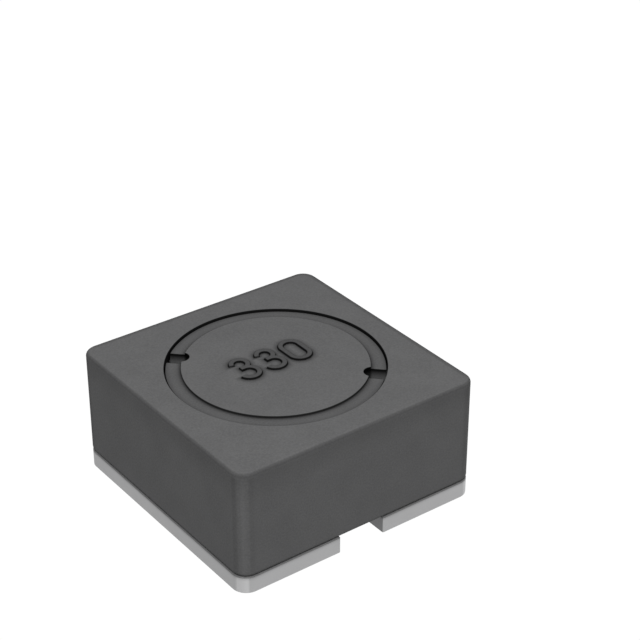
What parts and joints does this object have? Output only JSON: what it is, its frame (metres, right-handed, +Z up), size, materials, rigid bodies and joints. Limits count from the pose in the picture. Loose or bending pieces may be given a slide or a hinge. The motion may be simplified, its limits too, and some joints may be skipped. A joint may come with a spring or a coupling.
{
  "type": "shielded surface-mount inductor",
  "caption": "Low square magnetically shielded power inductor: round drum core and copper winding set in a square ferrite shield, with flat solder terminals underneath and plain raised numbers on top.",
  "frame": {"origin": "middle of the square footprint, on the plane of the solder pads", "axes": "+Z up out of the circuit board through the top face; +X from the left terminal to the right terminal; +Y completes the right-handed frame"},
  "size_m": [0.0126, 0.0126, 0.006],
  "materials": {
    "shield_ferrite": "matt sintered ferrite, dark neutral grey with a fine speckle",
    "drum_ferrite": "matt sintered ferrite, dark neutral grey with a fine speckle",
    "enamelled_copper": "copper wire under clear reddish enamel",
    "tinned_terminal": "satin white tin plate",
    "solder": "smooth satin solder",
    "adhesive": "cured dark epoxy"
  },
  "bodies": {
    "root": {"shield_core": "shield_ferrite", "drum_core": "drum_ferrite", "winding": "enamelled_copper", "terminal_left": "tinned_terminal", "terminal_right": "tinned_terminal", "solder_left": "solder", "solder_right": "solder", "bond_film_left": "adhesive", "bond_film_right": "adhesive", "drum_bond": "adhesive"}
  },
  "joints": []
}
